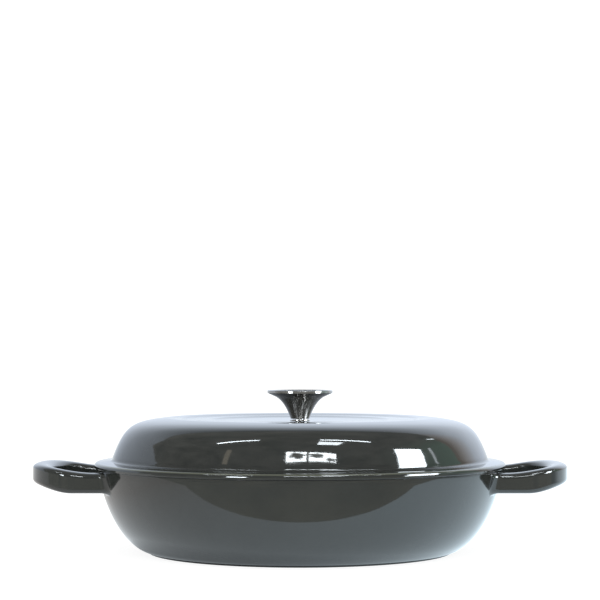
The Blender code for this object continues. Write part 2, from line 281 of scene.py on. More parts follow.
def blended(tree, share, first, second):
    """Mix two colours; each is a colour or another node's output."""
    node = add_node(tree, "ShaderNodeMix", {"data_type": "RGBA"})
    tree.links.new(share, node.inputs["Factor"])
    for socket, colour in ((node.inputs[COLOUR_A], first), (node.inputs[COLOUR_B], second)):
        if isinstance(colour, tuple):
            socket.default_value = (*colour, 1)
        else:
            tree.links.new(colour, socket)
    return node.outputs[COLOUR_RESULT]


def bumped(tree, shader, heights):
    """Chain bumps of (height output, distance in metres) into the shader's normal."""
    below = None
    for height, distance in heights:
        bump = add_node(tree, "ShaderNodeBump", Strength=1.0, Distance=distance)
        tree.links.new(height, bump.inputs["Height"])
        if below:
            tree.links.new(below, bump.inputs["Normal"])
        below = bump.outputs["Normal"]
    tree.links.new(below, shader.inputs["Normal"])


# %% Enamel
# A pale line along the flange's top edge: thinner enamel there, and a painted highlight as well.
FLANGE_THINNED_AND_HIGHLIT_LINE = (0.1550, 0, 0.0679)
FLANGE_THINNED_AND_HIGHLIT_REACH = (0.0005, 0.0010)
FLANGE_THINNED_AND_HIGHLIT_COLOUR = (0.150, 0.164, 0.120)
EDGE_POINTINESS = (0.515, 0.6)
GRAIN_RANGE = (0.66, 0.74)
GRAIN_SHARE = 0.35
WORN_SHARE = 0.5
THINNED_AND_HIGHLIT_SHARE = 0.9
HAZE_RANGE = (0.3, 0.75)
HAZE_DEPTH = 0.05
SWAY_DEPTH = 0.00012
PEEL_DEPTH = 0.000012


def from_axis(tree, here):
    """The distance from the Z axis."""
    level = vector_node(tree, "MULTIPLY", here, (1, 1, 0)).outputs["Vector"]
    return vector_node(tree, "LENGTH", level).outputs["Value"]


def radius_and_height(tree, here):
    """The place on the half section: distance from the axis, and height."""
    section = add_node(tree, "ShaderNodeCombineXYZ")
    linked(tree, section, (from_axis(tree, here), 0, split(tree, here)["Z"]))
    return section.outputs["Vector"]


def enamel(name, deep, pale, edge, gloss, ior):
    material, tree, shader = finish_nodes(name)
    here = object_place(tree)
    cloud = spread(tree, noise(tree, here, scale=22, detail=5, rough=0.6), *NOISE_RANGE, 0, 1)
    grain = spread(tree, noise(tree, here, scale=2400, detail=2), *GRAIN_RANGE, 0, GRAIN_SHARE)
    body = blended(tree, cloud, deep, pale)
    specked = blended(tree, grain, body, pale)
    pointed = add_node(tree, "ShaderNodeNewGeometry").outputs["Pointiness"]
    worn = spread(tree, pointed, *EDGE_POINTINESS, 0, WORN_SHARE)
    # Paler colour along the flange's line: thinner enamel, and a painted highlight.
    off_highlit_line = vector_node(tree, "DISTANCE", radius_and_height(tree, here), FLANGE_THINNED_AND_HIGHLIT_LINE).outputs["Value"]
    thinned_and_highlit = spread(tree, off_highlit_line, *FLANGE_THINNED_AND_HIGHLIT_REACH, THINNED_AND_HIGHLIT_SHARE, 0)
    coated = blended(tree, worn, specked, edge)
    tree.links.new(blended(tree, thinned_and_highlit, coated, FLANGE_THINNED_AND_HIGHLIT_COLOUR), shader.inputs["Base Color"])
    haze = noise(tree, here, scale=60, detail=4, rough=0.6)
    hazy = spread(tree, haze, *HAZE_RANGE, gloss, gloss + HAZE_DEPTH)
    tree.links.new(hazy, shader.inputs["Roughness"])
    shader.inputs["IOR"].default_value = ior
    peel = noise(tree, here, scale=120, detail=2, rough=0.4)
    sway = noise(tree, here, scale=28, detail=1, rough=0.4)
    bumped(tree, shader, ((sway, SWAY_DEPTH), (peel, PEEL_DEPTH)))
    return material


dark_enamel = enamel(
    "green_black_enamel",
    deep=(0.033, 0.037, 0.034),
    pale=(0.043, 0.048, 0.045),
    edge=(0.075, 0.082, 0.052),
    gloss=0.035,
    ior=1.6,
)
sand_enamel = enamel(
    "sand_enamel",
    deep=(0.58, 0.49, 0.36),
    pale=(0.66, 0.57, 0.44),
    edge=(0.50, 0.40, 0.28),
    gloss=0.08,
    ior=1.5,
)
print("enamels:", dark_enamel.name, sand_enamel.name)


# %% [markdown]
# The top of the pan's rim and the lid's bearing ring are left without the glossy coat, because enamel on
# enamel would chip. The ground coat there is matt, dark and a little gritty.

# %% Matt rim
GRIT_DEPTH = 0.00006
GRIT_ROUGHNESS = (0.42, 0.6)


def matt_ground(name, deep, pale):
    material, tree, shader = finish_nodes(name)
    grit = noise(tree, object_place(tree), scale=1500)
    tree.links.new(blended(tree, grit, deep, pale), shader.inputs["Base Color"])
    tree.links.new(spread(tree, grit, *NOISE_RANGE, *GRIT_ROUGHNESS), shader.inputs["Roughness"])
    bumped(tree, shader, ((grit, GRIT_DEPTH),))
    return material


rim_ground = matt_ground("rim_ground", (0.018, 0.018, 0.018), (0.045, 0.045, 0.044))
print("matt finish:", rim_ground.name)


# %% [markdown]
# Spun steel carries fine turning lines that run round the axis. A noise that reads only the distance from
# the axis and the height is the same all the way round, which is just how a lathe leaves it. The lines
# stretch each highlight across themselves, so the shader is anisotropic: its tangent runs round Z, and a
# rotation of a quarter turn lays the stretch up and down the piece. That draws each lamp out to a streak.
# The pressed cap takes a darker copy of this steel, painted shade for its dim band, matched to the
# photograph.

# %% Steel
STREAK = 0.9
QUARTER_TURN = 0.25


def spun_steel(name, deep, pale, low_rough, high_rough):
    material, tree, shader = finish_nodes(name)
    here = object_place(tree)
    lines = noise(tree, radius_and_height(tree, here), scale=2600, detail=4, rough=0.7)
    tone = noise(tree, here, scale=90)
    tree.links.new(blended(tree, lines, deep, pale), shader.inputs["Base Color"])
    tree.links.new(spread(tree, tone, *NOISE_RANGE, low_rough, high_rough), shader.inputs["Roughness"])
    shader.inputs["Metallic"].default_value = 1.0
    shader.inputs["Anisotropic"].default_value = STREAK
    shader.inputs["Anisotropic Rotation"].default_value = QUARTER_TURN
    tangent = add_node(tree, "ShaderNodeTangent", {"direction_type": "RADIAL", "axis": "Z"})
    tree.links.new(tangent.outputs["Tangent"], shader.inputs["Tangent"])
    return material


knob_steel = spun_steel("spun_steel", (0.54, 0.52, 0.50), (0.68, 0.66, 0.65), 0.19, 0.24)
# A darker copy of the spun steel for the cap: painted shade for the dim band that it mirrors.
shaded_cap_steel = spun_steel("pressed_steel_shaded", (0.28, 0.275, 0.27), (0.36, 0.355, 0.35), 0.18, 0.22)
print("steel:", knob_steel.name, "and", shaded_cap_steel.name)


# %% [markdown]
# The screw and washers under the lid are zinc plated: a dull bluish grey, faintly blotched.

# %% Zinc plate
ZINC_DEPTH = 0.00001
ZINC_ROUGHNESS = (0.28, 0.42)


def zinc_plate(name, deep, pale):
    material, tree, shader = finish_nodes(name)
    here = object_place(tree)
    blotch = noise(tree, here, scale=420, detail=4, rough=0.6)
    tree.links.new(blended(tree, blotch, deep, pale), shader.inputs["Base Color"])
    tree.links.new(spread(tree, blotch, *NOISE_RANGE, *ZINC_ROUGHNESS), shader.inputs["Roughness"])
    shader.inputs["Metallic"].default_value = 1.0
    bumped(tree, shader, ((noise(tree, here, scale=2500, detail=2), ZINC_DEPTH),))
    return material


zinc = zinc_plate("zinc_plate", (0.42, 0.44, 0.47), (0.62, 0.62, 0.60))
for node_name in ("knob_core", "knob_screw", "screw_washer", "spring_washer"):
    node_object = frame["nodes"][node_name]
    node_object.data.materials.clear()
    node_object.data.materials.append(zinc)
print("plated:", zinc.name)

# %% [markdown]
# ## The pan
# The bowl is one long curve from the foot, out along the belly and up to the rim, with a second curve a
# wall's thickness inside it. Drawing both in one outline and spinning it gives a closed casting at once.

# %% Pan sizes
PAN_HEIGHT = 0.0640
PAN_WALL = 0.0038
PAN_FLOOR = 0.0046
FOOT_RADIUS = 0.1152
FOOT_HEIGHT = 0.0012
FOOT_STEP = 0.0009
BELLY_REACH = 0.0061
BELLY_LIFT = 0.0008
WALL_LEAN = 0.0098
WALL_PULL = 0.0491
RIM_BAND = 0.0019
RIM_ROUND = 0.0015
RIM_EDGE = 0.0002
FOOT_STEP_ROUND = 0.0003
FOOT_EDGE_ROUND = 0.0004
COVE = 0.0060
COVE_ELBOW = 0.75
COVE_REACH = 0.8
COVE_PULL = 0.5
COVE_POINTS = 10
WALL_POINTS = 44
LOOKS_UP = 0.5
SAND_SLOT, GROUND_SLOT = 1, 2

# %% Pan body
def wall_curve():
    """The outside of the wall, from the foot up to the rim's band."""
    foot = (FOOT_RADIUS + FOOT_STEP, FOOT_HEIGHT)
    top = (RIM_RADIUS, PAN_HEIGHT - RIM_BAND)
    out = (foot[0] + BELLY_REACH, foot[1] + BELLY_LIFT)
    into = (top[0] - WALL_LEAN, top[1] - WALL_PULL)
    return curve_points(foot, out, into, top, WALL_POINTS)


def pan_outline():
    outer = wall_curve()[::-1]
    inner = [point for point in moved_in(outer, PAN_WALL) if point[1] > PAN_FLOOR + COVE]
    side = RIM_RADIUS - PAN_WALL
    low, above = Vector(inner[-1][:2]), Vector(inner[-2][:2])
    slope = (low - above).normalized()
    run = (low.y - PAN_FLOOR) / abs(slope.y)
    elbow = low + slope * run * COVE_ELBOW
    flat = (elbow.x - run * COVE_REACH, PAN_FLOOR)
    cove = curve_points(
        tuple(low),
        tuple(elbow),
        (flat[0] + run * COVE_PULL, PAN_FLOOR),
        flat,
        COVE_POINTS,
    )
    inside = [(0, PAN_FLOOR, 0), (flat[0] / 2, PAN_FLOOR, 0)] + cove[::-1] + inner[-2::-1]
    rim = [(side, PAN_HEIGHT, RIM_ROUND), (RIM_RADIUS, PAN_HEIGHT, RIM_EDGE)]
    foot = [
        (FOOT_RADIUS, FOOT_HEIGHT, FOOT_STEP_ROUND),
        (FOOT_RADIUS, 0, FOOT_EDGE_ROUND),
        (FOOT_RADIUS / 2, 0, 0),
        (0, 0, 0),
    ]
    return rounded(inside + rim + outer + foot)


def give_finishes(casting):
    """Every casting has the same three finishes, in slots 0, 1 and 2."""
    for material in (dark_enamel, sand_enamel, rim_ground):
        casting.data.materials.append(material)


pan_body = turned("pan_casting", pan_outline())
give_finishes(pan_body)
inner_side = RIM_RADIUS - PAN_WALL + RIM_ROUND / 2


def inside_pan(radius, height, outward, upward):
    """Faces that look up, or in towards the axis."""
    return radius < inner_side and height > PAN_FLOOR / 2 and (upward > LOOKS_UP or outward < 0)


def on_rim(radius, height, outward, upward):
    return height > PAN_HEIGHT - RIM_ROUND / 4


inner_count = coat_faces(pan_body, SAND_SLOT, inside_pan)
rim_count = coat_faces(pan_body, GROUND_SLOT, on_rim)
print(f"pan body: {len(pan_body.data.polygons)} faces, {inner_count} inside, {rim_count} on the rim")

# %% [markdown]
# ## The loop handles
# Each loop is a bar with rounded edges, bent round in a flat nose and lifted a little towards its end. A bar
# along a path is what a curve with a bevel object makes, so the section and the path are drawn apart, and
# the curve sweeps one along the other. Two things a sweep can't do are then done ring by ring: the nose is
# lifted, and the two ends are spread into a fillet where they grow out of the pan's wall.

# %% Handle sizes
HANDLE_WIDTH = 0.1080
HANDLE_BAND = 0.0141
HANDLE_DEPTH = 0.0148
HANDLE_DROP = 0.0018
TOP_ROUND = (0.0062, 0.0034)
LOW_ROUND = (0.0036, 0.0033)
HANDLE_NOSE = 0.0350
NOSE_FULLNESS = 2.3
NOSE_STEPS = 40
CORNER_STEPS = 12
HANDLE_RISE = 0.0057
RISE_LENGTH = 0.0500
RISE_LAG = 0.0160
ROOT_FILLET = 0.0058
ROOT_DROOP = 0.0028
ROOT_CREST = 0.0004
ROOT_STEPS = 9
ARM_STEPS = 16
SINK = 0.0003
BURIED = 0.0022
ARM_RINGS = ROOT_STEPS + ARM_STEPS + 2
ARM_MIDDLE = (HANDLE_WIDTH - HANDLE_BAND) / 2
NOSE_START = HANDLE_REACH - HANDLE_NOSE
MIDDLE_HEIGHT = PAN_HEIGHT - HANDLE_DROP - HANDLE_DEPTH / 2


# %% Draw the bar and its path
def bar_section():
    """The bar's section: X runs across it, Y is up. Each edge is a quarter of an ellipse with its
    holding points, and the upper edges are the broad ones."""
    points = []
    for corner, (across, up) in enumerate((LOW_ROUND, TOP_ROUND, TOP_ROUND, LOW_ROUND)):
        side_x = 1 if corner in (0, 1) else -1
        side_y = 1 if corner in (1, 2) else -1
        for step in range(-1, CORNER_STEPS + 2):
            on_arc = min(max(step, 0), CORNER_STEPS)
            angle = math.radians(90 * (corner - 1 + on_arc / CORNER_STEPS))
            past_arc = HOLD * (step - on_arc)
            x = side_x * (HANDLE_BAND / 2 - across) + across * math.cos(angle) - past_arc * math.sin(angle)
            y = side_y * (HANDLE_DEPTH / 2 - up) + up * math.sin(angle) + past_arc * math.cos(angle)
            points.append((x, y))
    return points


def loop_path():
    """The middle line of the loop seen from above: one arm, the nose, and the other arm."""
    outer_side = HANDLE_WIDTH / 2
    arm = [(NOSE_START - HANDLE_NOSE * (1 - ring / ARM_RINGS), outer_side) for ring in range(ARM_RINGS)]
    nose = []
    for step in range(NOSE_STEPS + 1):
        angle = math.radians(90 - 90 * step / NOSE_STEPS)
        x = NOSE_START + HANDLE_NOSE * max(math.cos(angle), 0) ** (2 / NOSE_FULLNESS)
        nose.append((x, outer_side * max(math.sin(angle), 0) ** (2 / NOSE_FULLNESS)))
    half = arm + nose
    mirrored = [(x, -y) for x, y in half[:-1]]
    return moved_in(half + mirrored[::-1], HANDLE_BAND / 2)


# %% Sweep the bar along the loop
def swept_loop(name):
    """Draw the bar's section and the loop's path, and sweep one along the other."""
    section = polyline([(x, y, 0) for x, y in bar_section()], closed=True)
    loop = polyline(loop_path(), closed=False)
    loop.name = name
    loop.data.twist_mode = "Z_UP"
    loop.data.bevel_mode = "OBJECT"
    loop.data.bevel_object = section
    deselect()
    loop.select_set(True)
    bpy.context.view_layer.objects.active = loop
    bpy.ops.object.convert(target="MESH")
    bpy.data.objects.remove(section)
    return loop


loop_right = swept_loop("loop_right")
print("loop:", len(loop_right.data.vertices), "points,", len(bar_section()), "in each ring")

# %% [markdown]
# A handle that is cast in one with its pan grows out of the wall in a fillet, wide at the sides and small
# above and below. The rings nearest the wall are therefore set along a quarter circle: each one keeps its
# distance from the curved wall, and is spread the way its surface faces. The last ring is buried in the
# wall, so that the union that follows has solid iron to cut into.

# %% Grow the roots and lift the nose
def wall_reach(y, z):
    """How far out along X the pan's outer wall is at this place."""
    radius = RIM_RADIUS
    wall = wall_curve()
    for low, high in zip(wall, wall[1:]):
        if low[1] <= z <= high[1]:
            radius = low[0] + (high[0] - low[0]) * (z - low[1]) / (high[1] - low[1])
    return math.sqrt(radius ** 2 - y ** 2)


def facing(across, up):
    """Which way the bar's surface looks at a place of its section."""
    round_across, round_up = TOP_ROUND if up > 0 else LOW_ROUND
    flat_across, flat_up = HANDLE_BAND / 2 - round_across, HANDLE_DEPTH / 2 - round_up
    sideways = (across - max(-flat_across, min(flat_across, across))) / round_across
    upwards = (up - max(-flat_up, min(flat_up, up))) / round_up
    return sideways, upwards


def set_root(place, ring):
    """Move one point of ring number `ring`, counted from the loop's end, to its place by the wall."""
    side = math.copysign(1, place.y)
    across, up = abs(place.y) - ARM_MIDDLE, place.z
    if ring <= ROOT_STEPS + 1:
        angle = math.radians(90 * max(ring - 1, 0) / ROOT_STEPS)
        widened = 1 - math.sin(angle)
        sideways, upwards = facing(across, up)
        across += sideways * ROOT_FILLET * widened
        up += upwards * (ROOT_CREST if upwards > 0 else ROOT_DROOP) * widened
        from_wall = (ROOT_FILLET + SINK) * (1 - math.cos(angle)) - SINK
        if ring == 0:
            from_wall = -BURIED
        place.y, place.z = side * (ARM_MIDDLE + across), up
        place.x = wall_reach(place.y, MIDDLE_HEIGHT + up) + from_wall
    else:
        root = wall_reach(place.y, MIDDLE_HEIGHT + up) + ROOT_FILLET
        share = (ring - ROOT_STEPS - 1) / (ARM_STEPS + 1)
        place.x = root + (NOSE_START - root) * share


def lift(x, up):
    """The nose's rise, which its underside takes up a little later than its top."""
    lag = RISE_LAG * (0.5 - up / HANDLE_DEPTH)
    share = (x - HANDLE_REACH + RISE_LENGTH - lag) / (RISE_LENGTH - lag)
    share = min(max(share, 0), 1)
    return HANDLE_RISE * share * share * (3 - 2 * share)


points_in_ring = len(bar_section())
last_ring = len(loop_right.data.vertices) // points_in_ring - 1
for index, vertex in enumerate(loop_right.data.vertices):
    ring = index // points_in_ring
    ring_from_end = min(ring, last_ring - ring)
    if ring_from_end < ARM_RINGS:
        set_root(vertex.co, ring_from_end)
    vertex.co.z += MIDDLE_HEIGHT + lift(vertex.co.x, vertex.co.z)
print(f"loop lifted to {1000 * max(vertex.co.z for vertex in loop_right.data.vertices):.1f} mm")

# %% Close the loop's ends and copy it to the other side
deselect()
loop_right.select_set(True)
bpy.context.view_layer.objects.active = loop_right
bpy.ops.object.mode_set(mode="EDIT")
bpy.ops.mesh.select_all(action="SELECT")
bpy.ops.mesh.fill_holes(sides=0)
bpy.ops.mesh.normals_make_consistent(inside=False)
bpy.ops.object.mode_set(mode="OBJECT")
give_finishes(loop_right)
bpy.ops.object.duplicate()
loop_left = bpy.context.object
loop_left.name = "loop_left"
bpy.ops.transform.rotate(value=math.pi, orient_axis="Z", center_override=(0, 0, 0))
bpy.ops.object.transform_apply(location=True, rotation=True, scale=True)
print(f"left loop reaches {1000 * min(vertex.co.x for vertex in loop_left.data.vertices):.1f} mm")

# %% [markdown]
# Bowl and loops are one piece of iron. A boolean union takes away what lies inside the other piece and joins
# the two surfaces where they meet, which leaves one closed casting, as the foundry does.

# %% Unite the bowl and its loops
for loop in (loop_right, loop_left):
    union = pan_body.modifiers.new(loop.name, "BOOLEAN")
    union.operation = "UNION"
    union.object = loop
    deselect()
    bpy.context.view_layer.objects.active = pan_body
    pan_body.select_set(True)
    bpy.ops.object.modifier_apply(modifier=union.name)
    bpy.data.objects.remove(loop)
smooth(pan_body)
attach(pan_body, "pan")
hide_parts("pan")
print("casting:", len(pan_body.data.polygons), "faces")

# %% [markdown]
# ## The lid
# The lid's section runs from the screw hole out over two turned rings, round the shoulder, down the dome
# and out to the flange, then back underneath past the skirt that keeps it on the pan. The rings are low
# steps that the enamel has nearly levelled out, so their corners get very wide arcs. The flange's upper
# edge is rounder than its lower one, which only has to meet the rim.

# %% Lid sizes
SEAT_Z = 0.0643
HOLE_RADIUS = 0.0032
FLANGE_THICKNESS = 0.0036
FLANGE_SLOPE = 0.0016
FLANGE_TOP_ROUND = 0.0025
FLANGE_LOW_ROUND = 0.0005
TOE_LEAN = 0.0007
TOE_ROUND = 0.0024
DOME_SETBACK = 0.0114
DOME_FOOT = 0.0080
SHOULDER_RADIUS = 0.1040
SHOULDER_REACH = 0.0241
SHOULDER_DROP = 0.0025
DOME_LEAN = 0.0086
DOME_PULL = 0.0229
CREST_HEIGHT = 0.0370
CREST_BULGE = 0.0003
LID_WALL = 0.0037
SKIRT_DEPTH = 0.0052
SKIRT_THICKNESS = 0.0032
SKIRT_PLAY = 0.0018
RING_STEP = 0.0009
OUTER_RING_RADIUS = 0.0915
INNER_RING_RADIUS = 0.0680
RING_SLOPE = 0.0052
RING_ROUND = 0.0200
LID_DISH = 0.0008
KNOB_LAND_RADIUS = 0.0130
BOSS_RADIUS = 0.0110
BOSS_HEIGHT = 0.0012
HOLE_ROUND = 0.0004
HOLE_LOW_ROUND = 0.0002
KNOB_LAND_ROUND = 0.0040
SKIRT_ROOT_ROUND = 0.0006
SKIRT_ROUND = 0.0008
BOSS_ROOT_ROUND = 0.0010
BOSS_ROUND = 0.0006
CREST_POINTS = 10
SEAT_DEPTH = 0.0002
LID_TOP = CREST_HEIGHT - 2 * RING_STEP - LID_DISH


# %% Lid
def lid_outline():
    low, middle, crest = LID_TOP, CREST_HEIGHT - RING_STEP, CREST_HEIGHT
    crest_start = (OUTER_RING_RADIUS + RING_SLOPE / 2, crest)
    shoulder = (SHOULDER_RADIUS, crest)
    swell = (SHOULDER_RADIUS - OUTER_RING_RADIUS) / 4
    foot = (RIM_RADIUS - DOME_SETBACK, DOME_FOOT)
    flange_top = FLANGE_THICKNESS + FLANGE_SLOPE
    top = [
        (HOLE_RADIUS, low, HOLE_ROUND),
        (KNOB_LAND_RADIUS, low, KNOB_LAND_ROUND),
        (INNER_RING_RADIUS - RING_SLOPE, low + LID_DISH, RING_ROUND),
        (INNER_RING_RADIUS, middle, RING_ROUND),
        (OUTER_RING_RADIUS - RING_SLOPE, middle, RING_ROUND),
        (OUTER_RING_RADIUS, crest, RING_ROUND),
    ]
    bulge = curve_points(
        crest_start,
        (crest_start[0] + swell, crest + CREST_BULGE),
        (shoulder[0] - swell, crest + CREST_BULGE),
        shoulder,
        CREST_POINTS,
    )
    dome = curve_points(
        shoulder,
        (shoulder[0] + SHOULDER_REACH, crest - SHOULDER_DROP),
        (foot[0] - DOME_LEAN, foot[1] + DOME_PULL),
        foot,
        WALL_POINTS,
    )
    skirt_outer = RIM_RADIUS - PAN_WALL - SKIRT_PLAY
    skirt_inner = skirt_outer - SKIRT_THICKNESS
    edge = [
        (foot[0] + TOE_LEAN, flange_top, TOE_ROUND),
        (FLANGE_RADIUS, FLANGE_THICKNESS + FLANGE_SLOPE / 8, FLANGE_TOP_ROUND),
        (FLANGE_RADIUS, 0, FLANGE_LOW_ROUND),
        (skirt_outer, 0, SKIRT_ROOT_ROUND),
        (skirt_outer, -SKIRT_DEPTH, SKIRT_ROUND),
        (skirt_inner, -SKIRT_DEPTH, SKIRT_ROUND),
    ]
    inside = [point for point in moved_in(dome, LID_WALL) if point[1] > 0][::-1]
    ceiling = low - LID_WALL
    under = [
        (INNER_RING_RADIUS, middle - LID_WALL, RING_ROUND),
        (INNER_RING_RADIUS - RING_SLOPE, ceiling + LID_DISH, RING_ROUND),
        (BOSS_RADIUS + BOSS_HEIGHT, ceiling, BOSS_ROOT_ROUND),
        (BOSS_RADIUS, ceiling - BOSS_HEIGHT, BOSS_ROUND),
        (HOLE_RADIUS, ceiling - BOSS_HEIGHT, HOLE_LOW_ROUND),
    ]
    outline = top + bulge + dome[1:] + edge + inside + under
    return rounded([(x, SEAT_Z + z, radius) for x, z, radius in outline], closed=True)


def under_lid(radius, height, outward, upward):
    return radius < RIM_RADIUS - PAN_WALL and (upward < 0 or height < SEAT_Z)


def on_seat(radius, height, outward, upward):
    beside_skirt = RIM_RADIUS - PAN_WALL - SKIRT_PLAY
    return beside_skirt < radius < RIM_RADIUS and abs(height - SEAT_Z) < SEAT_DEPTH


lid = turned("lid_casting", lid_outline(), closed=True)
give_finishes(lid)
under_count = coat_faces(lid, SAND_SLOT, under_lid)
seat_count = coat_faces(lid, GROUND_SLOT, on_seat)
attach(lid, "lid")
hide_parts("lid")
print(f"lid: {len(lid.data.polygons)} faces, {under_count} underneath, {seat_count} on its seat")

# %% [markdown]
# ## The knob
# Three pieces of steel make the knob. A thin disc is pressed for the top, and its edge is turned under. The
# trumpet below it is spun, and its lip is caught in that edge, which leaves a fine line all round. A small
# collar keeps the trumpet off the enamel.

# %% Knob sizes
KNOB_STEPS = 192
CLEARANCE = 0.0003
KNOB_FOOT = SEAT_Z + LID_TOP + CLEARANCE
KNOB_HEIGHT = 0.0232
CAP_RADIUS = 0.0249
CAP_BAND = 0.0020
CAP_EDGE_ROUND = 0.0003
CAP_SHEET = 0.0009
CAP_DISH = 0.0009
HEM_RADIUS = 0.0198
HEM_LIFT = 0.0023
HEM_GROOVE = 0.0004
KNOB_WAIST_RADIUS = 0.0071
KNOB_SHEET = 0.0011
FLARE_REACH = 0.0068
FLARE_DROP = 0.0030
WAIST_LEAN = 0.0020
WAIST_PULL = 0.0056
COLLAR_RADIUS = 0.0077
COLLAR_HEIGHT = 0.0010
CORE_RADIUS = 0.0050
CAP_LIP = 0.0022
CAP_LIP_TOP = 0.0005
DISH_ROUND = 0.0010
CREASE_ROUND = 0.0002
FOLD_ROUND = 0.0003
TRUMPET_POINTS = 32


# %% Knob pieces
def cap_outline():
    top = KNOB_HEIGHT
    band_low = top - CAP_BAND
    hem_low = band_low - HEM_LIFT
    slope = math.atan2(HEM_LIFT, CAP_RADIUS - HEM_RADIUS)
    sheet_across, sheet_up = CAP_SHEET * math.sin(slope), CAP_SHEET * math.cos(slope)
    return [
        (0, top - CAP_DISH, 0),
        (CAP_RADIUS - CAP_LIP, top - CAP_DISH, DISH_ROUND),
        (CAP_RADIUS - CAP_LIP_TOP, top, CREASE_ROUND),
        (CAP_RADIUS, top, CAP_EDGE_ROUND),
        (CAP_RADIUS, band_low, CAP_EDGE_ROUND),
        (HEM_RADIUS, hem_low, CREASE_ROUND),
        (HEM_RADIUS - sheet_across, hem_low + sheet_up, CREASE_ROUND),
        (CAP_RADIUS - CAP_SHEET, band_low + CAP_SHEET / 2, FOLD_ROUND),
        (CAP_RADIUS - CAP_SHEET, top - 2 * CAP_SHEET, FOLD_ROUND),
        (0, top - 2 * CAP_SHEET, 0),
    ]


def trumpet_outline():
    top = (HEM_RADIUS - HEM_GROOVE, KNOB_HEIGHT - CAP_BAND - HEM_LIFT - HEM_GROOVE / 4)
    waist = (KNOB_WAIST_RADIUS, COLLAR_HEIGHT + 2 * CLEARANCE)
    outer = curve_points(
        top,
        (top[0] - FLARE_REACH, top[1] - FLARE_DROP),
        (waist[0] + WAIST_LEAN, waist[1] + WAIST_PULL),
        waist,
        TRUMPET_POINTS,
    )
    bore = CORE_RADIUS + CLEARANCE
    inner = [(max(x, bore), z, 0) for x, z, _ in moved_in(outer, KNOB_SHEET) if z > waist[1] + KNOB_SHEET]
    return outer + [(bore, waist[1], 0)] + inner[::-1]


def collar_outline():
    return [
        (HOLE_RADIUS, COLLAR_HEIGHT, CREASE_ROUND),
        (COLLAR_RADIUS, COLLAR_HEIGHT, FOLD_ROUND),
        (COLLAR_RADIUS, 0, FOLD_ROUND),
        (HOLE_RADIUS, 0, CREASE_ROUND),
    ]


def knob_piece(name, outline, closed, node):
    raised = [(x, KNOB_FOOT + z, radius) for x, z, radius in outline]
    piece = turned(name, rounded(raised, closed), closed, KNOB_STEPS)
    # The cap gets the darker steel, which is a painted shade.
    piece.data.materials.append(shaded_cap_steel if node == "knob_cap" else knob_steel)
    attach(piece, "lid")
    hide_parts(node)
    print(f"{name}: {len(piece.data.polygons)} faces")


knob_piece("knob_top_disc", cap_outline(), False, "knob_cap")
knob_piece("knob_trumpet", trumpet_outline(), True, "knob_body")
knob_piece("knob_foot_ring", collar_outline(), True, "knob_collar")

# %% [markdown]
# ## The studio
# A glossy black pan shows its surroundings more than itself, so the studio is what shapes it. The pan
# stands close to the front edge of a white table, with a white backdrop behind it and a white wing beside
# that. In front of the table the room is dim, with tubes, a window and a soft box. The enamel mirrors the
# white table low on its wall, the dim room in the middle, and the backdrop along the lid's shoulder.
#
# The camera sees every white surface as plain white. A mirrored white is a different matter: it is cooler
# on the side of the soft box, darker right beside the pan that shades it, and it fades towards the top.
# So rays that come off a glossy surface get their own picture of it, which doesn't change the light.

# %% White surfaces
TABLE_EDGE = -0.175
SWEEP_BACK = 3.2
SWEEP_HEIGHT = 5.2
SWEEP_SIDE = 6.7
SWEEP_CURVE = 0.5
SWEEP_CURVE_STEPS = 12
FLOOR_FRONT = -8.0
WING_HEIGHT = 2.0
ROOM_HALF = 9.5
ROOM_LOW = -0.85
ROOM_HIGH = 5.6
TABLE_WARM, TABLE_COOL, TABLE_FAR = (0.86, 0.84, 0.83), (1.32, 1.58, 1.75), (1.00, 1.07, 1.12)
WALL_COOL, WALL_WARM = (0.90, 1.0, 1.15), (1.15, 1.0, 0.90)
SHADE_LEAN = 0.06
SHADE_EDGE = (0.116, 0.131)
SHADE_DEEPEST = 0.36
CORNER_DIMMEST = 0.35
PAINT_ROUGHNESS = 0.9
PAINT_SHINE = 0.1
FIBRE_TONE = 0.97
SEEN_GREY = 0.34
FLOAT_A, FLOAT_B, FLOAT_RESULT = 2, 3, 0


def mirrored_table(tree, across, along, distance):
    """The table: warmer on the left, cooler towards the soft box, and shaded close to the pan."""
    to_right = spread(tree, across, -0.26, 0.12, 0, 1)
    far_off = spread(tree, distance, 0.6, 2.0, 0, 1)
    colour = blended(tree, far_off, blended(tree, to_right, TABLE_WARM, TABLE_COOL), TABLE_FAR)
    leaning = number(tree, "MULTIPLY_ADD", across, SHADE_LEAN, distance)
    shade = spread(tree, leaning, *SHADE_EDGE, SHADE_DEEPEST, 1)
    far_right = spread(tree, across, 0.45, 0.75, 0, 1)
    near_side = spread(tree, along, 0.0, 0.3, 1, 0)
    in_corner = number(tree, "MULTIPLY", far_right, near_side)
    return colour, number(tree, "MULTIPLY", shade, spread(tree, in_corner, 0, 1, 1, CORNER_DIMMEST))


def mirrored_wall(tree, across, steep):
    """The backdrop: brightest a third of the way up, dim at the top, and brownish at its right end."""
    right_end = spread(tree, across, 3.0, 6.0, 0, 1)
    colour = blended(tree, right_end, WALL_COOL, WALL_WARM)
    rising = spread(tree, steep, 0.03, 0.32, 1.0, 1.38)
    fading = spread(tree, steep, 0.62, 1.5, 1, 0.2)
    left_dim = spread(tree, across, -2.0, 2.2, 0.70, 1.3)
    right_dim = spread(tree, across, 3.0, 6.0, 1, 0.28)
    by_height = number(tree, "MULTIPLY", rising, fading)
    by_side = number(tree, "MULTIPLY", left_dim, right_dim)
    return colour, number(tree, "MULTIPLY", by_height, by_side)


